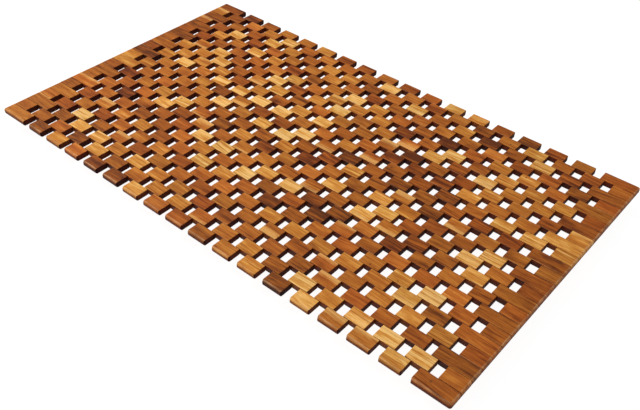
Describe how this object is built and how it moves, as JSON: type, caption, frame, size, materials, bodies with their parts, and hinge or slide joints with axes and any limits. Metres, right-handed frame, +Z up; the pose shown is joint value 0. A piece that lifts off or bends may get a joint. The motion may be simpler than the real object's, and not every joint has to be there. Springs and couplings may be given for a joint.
{
  "type": "roll-up wooden bath mat",
  "caption": "Roll-up bath mat of short hardwood slats laid like brickwork, threaded on hidden cross wires, with square drain holes and toothed long edges.",
  "frame": {"origin": "on the floor under the middle of the mat laid flat", "axes": "+X along the mat towards its near short end, +Y across it, +Z up through its thickness"},
  "size_m": [0.864, 0.504, 0.01],
  "materials": {
    "oiled_hardwood": "oiled acacia-like hardwood, satin, straight grain along each slat, honey to dark brown from slat to slat",
    "steel_wire": "drawn stainless wire, hidden inside the slats"
  },
  "bodies": {
    "far_end": {"far_end_long_slats": "oiled_hardwood", "far_end_short_slats": "oiled_hardwood"},
    "rank_01": {"slat_rank_01": "oiled_hardwood"},
    "rank_02": {"slat_rank_02": "oiled_hardwood"},
    "rank_03": {"slat_rank_03": "oiled_hardwood"},
    "rank_04": {"slat_rank_04": "oiled_hardwood"},
    "rank_05": {"slat_rank_05": "oiled_hardwood"},
    "rank_06": {"slat_rank_06": "oiled_hardwood"},
    "rank_07": {"slat_rank_07": "oiled_hardwood"},
    "rank_08": {"slat_rank_08": "oiled_hardwood"},
    "rank_09": {"slat_rank_09": "oiled_hardwood"},
    "rank_10": {"slat_rank_10": "oiled_hardwood"},
    "rank_11": {"slat_rank_11": "oiled_hardwood"},
    "rank_12": {"slat_rank_12": "oiled_hardwood"},
    "rank_13": {"slat_rank_13": "oiled_hardwood"},
    "rank_14": {"slat_rank_14": "oiled_hardwood"},
    "rank_15": {"slat_rank_15": "oiled_hardwood"},
    "rank_16": {"slat_rank_16": "oiled_hardwood"},
    "rank_17": {"slat_rank_17": "oiled_hardwood"},
    "rank_18": {"slat_rank_18": "oiled_hardwood"},
    "rank_19": {"slat_rank_19": "oiled_hardwood"},
    "rank_20": {"slat_rank_20": "oiled_hardwood"},
    "rank_21": {"slat_rank_21": "oiled_hardwood"},
    "rank_22": {"slat_rank_22": "oiled_hardwood"},
    "rank_23": {"slat_rank_23": "oiled_hardwood"},
    "rank_24": {"slat_rank_24": "oiled_hardwood"},
    "rank_25": {"slat_rank_25": "oiled_hardwood"},
    "rank_26": {"slat_rank_26": "oiled_hardwood"},
    "rank_27": {"slat_rank_27": "oiled_hardwood"},
    "rank_28": {"slat_rank_28": "oiled_hardwood"},
    "rank_29": {"slat_rank_29": "oiled_hardwood"},
    "rank_30": {"slat_rank_30": "oiled_hardwood"},
    "rank_31": {"slat_rank_31": "oiled_hardwood"},
    "rank_32": {"slat_rank_32": "oiled_hardwood"},
    "rank_33": {"slat_rank_33": "oiled_hardwood"},
    "near_end": {"near_end_long_slats": "oiled_hardwood", "near_end_short_slats": "oiled_hardwood"}
  },
  "joints": [
    {"name": "hinge_01", "type": "hinge", "parent": "rank_01", "child": "far_end", "pos_m": [-0.38115, 0, 0.005], "axis": [0, 1, 0], "range_deg": [0, 17.9]},
    {"name": "hinge_02", "type": "hinge", "parent": "rank_02", "child": "rank_01", "pos_m": [-0.35805, 0, 0.005], "axis": [0, 1, 0], "range_deg": [0, 18.1]},
    {"name": "hinge_03", "type": "hinge", "parent": "rank_03", "child": "rank_02", "pos_m": [-0.33495, 0, 0.005], "axis": [0, 1, 0], "range_deg": [0, 18.3]},
    {"name": "hinge_04", "type": "hinge", "parent": "rank_04", "child": "rank_03", "pos_m": [-0.31185, 0, 0.005], "axis": [0, 1, 0], "range_deg": [0, 18.6]},
    {"name": "hinge_05", "type": "hinge", "parent": "rank_05", "child": "rank_04", "pos_m": [-0.28875, 0, 0.005], "axis": [0, 1, 0], "range_deg": [0, 18.8]},
    {"name": "hinge_06", "type": "hinge", "parent": "rank_06", "child": "rank_05", "pos_m": [-0.26565, 0, 0.005], "axis": [0, 1, 0], "range_deg": [0, 19]},
    {"name": "hinge_07", "type": "hinge", "parent": "rank_07", "child": "rank_06", "pos_m": [-0.24255, 0, 0.005], "axis": [0, 1, 0], "range_deg": [0, 19.2]},
    {"name": "hinge_08", "type": "hinge", "parent": "rank_08", "child": "rank_07", "pos_m": [-0.21945, 0, 0.005], "axis": [0, 1, 0], "range_deg": [0, 19.5]},
    {"name": "hinge_09", "type": "hinge", "parent": "rank_09", "child": "rank_08", "pos_m": [-0.19635, 0, 0.005], "axis": [0, 1, 0], "range_deg": [0, 19.7]},
    {"name": "hinge_10", "type": "hinge", "parent": "rank_10", "child": "rank_09", "pos_m": [-0.17325, 0, 0.005], "axis": [0, 1, 0], "range_deg": [0, 20]},
    {"name": "hinge_11", "type": "hinge", "parent": "rank_11", "child": "rank_10", "pos_m": [-0.15015, 0, 0.005], "axis": [0, 1, 0], "range_deg": [0, 20.3]},
    {"name": "hinge_12", "type": "hinge", "parent": "rank_12", "child": "rank_11", "pos_m": [-0.12705, 0, 0.005], "axis": [0, 1, 0], "range_deg": [0, 20.6]},
    {"name": "hinge_13", "type": "hinge", "parent": "rank_13", "child": "rank_12", "pos_m": [-0.10395, 0, 0.005], "axis": [0, 1, 0], "range_deg": [0, 20.9]},
    {"name": "hinge_14", "type": "hinge", "parent": "rank_14", "child": "rank_13", "pos_m": [-0.08085, 0, 0.005], "axis": [0, 1, 0], "range_deg": [0, 21.2]},
    {"name": "hinge_15", "type": "hinge", "parent": "rank_15", "child": "rank_14", "pos_m": [-0.05775, 0, 0.005], "axis": [0, 1, 0], "range_deg": [0, 21.5]},
    {"name": "hinge_16", "type": "hinge", "parent": "rank_16", "child": "rank_15", "pos_m": [-0.03465, 0, 0.005], "axis": [0, 1, 0], "range_deg": [0, 21.8]},
    {"name": "hinge_17", "type": "hinge", "parent": "rank_17", "child": "rank_16", "pos_m": [-0.01155, 0, 0.005], "axis": [0, 1, 0], "range_deg": [0, 22.2]},
    {"name": "hinge_18", "type": "hinge", "parent": "rank_17", "child": "rank_18", "pos_m": [0.01155, 0, 0.005], "axis": [0, -1, 0], "range_deg": [0, 22.6]},
    {"name": "hinge_19", "type": "hinge", "parent": "rank_18", "child": "rank_19", "pos_m": [0.03465, 0, 0.005], "axis": [0, -1, 0], "range_deg": [0, 23]},
    {"name": "hinge_20", "type": "hinge", "parent": "rank_19", "child": "rank_20", "pos_m": [0.05775, 0, 0.005], "axis": [0, -1, 0], "range_deg": [0, 23.4]},
    {"name": "hinge_21", "type": "hinge", "parent": "rank_20", "child": "rank_21", "pos_m": [0.08085, 0, 0.005], "axis": [0, -1, 0], "range_deg": [0, 23.8]},
    {"name": "hinge_22", "type": "hinge", "parent": "rank_21", "child": "rank_22", "pos_m": [0.10395, 0, 0.005], "axis": [0, -1, 0], "range_deg": [0, 24.3]},
    {"name": "hinge_23", "type": "hinge", "parent": "rank_22", "child": "rank_23", "pos_m": [0.12705, 0, 0.005], "axis": [0, -1, 0], "range_deg": [0, 24.8]},
    {"name": "hinge_24", "type": "hinge", "parent": "rank_23", "child": "rank_24", "pos_m": [0.15015, 0, 0.005], "axis": [0, -1, 0], "range_deg": [0, 25.3]},
    {"name": "hinge_25", "type": "hinge", "parent": "rank_24", "child": "rank_25", "pos_m": [0.17325, 0, 0.005], "axis": [0, -1, 0], "range_deg": [0, 25.9]},
    {"name": "hinge_26", "type": "hinge", "parent": "rank_25", "child": "rank_26", "pos_m": [0.19635, 0, 0.005], "axis": [0, -1, 0], "range_deg": [0, 26.5]},
    {"name": "hinge_27", "type": "hinge", "parent": "rank_26", "child": "rank_27", "pos_m": [0.21945, 0, 0.005], "axis": [0, -1, 0], "range_deg": [0, 27.1]},
    {"name": "hinge_28", "type": "hinge", "parent": "rank_27", "child": "rank_28", "pos_m": [0.24255, 0, 0.005], "axis": [0, -1, 0], "range_deg": [0, 27.8]},
    {"name": "hinge_29", "type": "hinge", "parent": "rank_28", "child": "rank_29", "pos_m": [0.26565, 0, 0.005], "axis": [0, -1, 0], "range_deg": [0, 28.6]},
    {"name": "hinge_30", "type": "hinge", "parent": "rank_29", "child": "rank_30", "pos_m": [0.28875, 0, 0.005], "axis": [0, -1, 0], "range_deg": [0, 29.4]},
    {"name": "hinge_31", "type": "hinge", "parent": "rank_30", "child": "rank_31", "pos_m": [0.31185, 0, 0.005], "axis": [0, -1, 0], "range_deg": [0, 30.3]},
    {"name": "hinge_32", "type": "hinge", "parent": "rank_31", "child": "rank_32", "pos_m": [0.33495, 0, 0.005], "axis": [0, -1, 0], "range_deg": [0, 31.3]},
    {"name": "hinge_33", "type": "hinge", "parent": "rank_32", "child": "rank_33", "pos_m": [0.35805, 0, 0.005], "axis": [0, -1, 0], "range_deg": [0, 32.4]},
    {"name": "hinge_34", "type": "hinge", "parent": "rank_33", "child": "near_end", "pos_m": [0.38115, 0, 0.005], "axis": [0, -1, 0], "range_deg": [0, 64]}
  ]
}
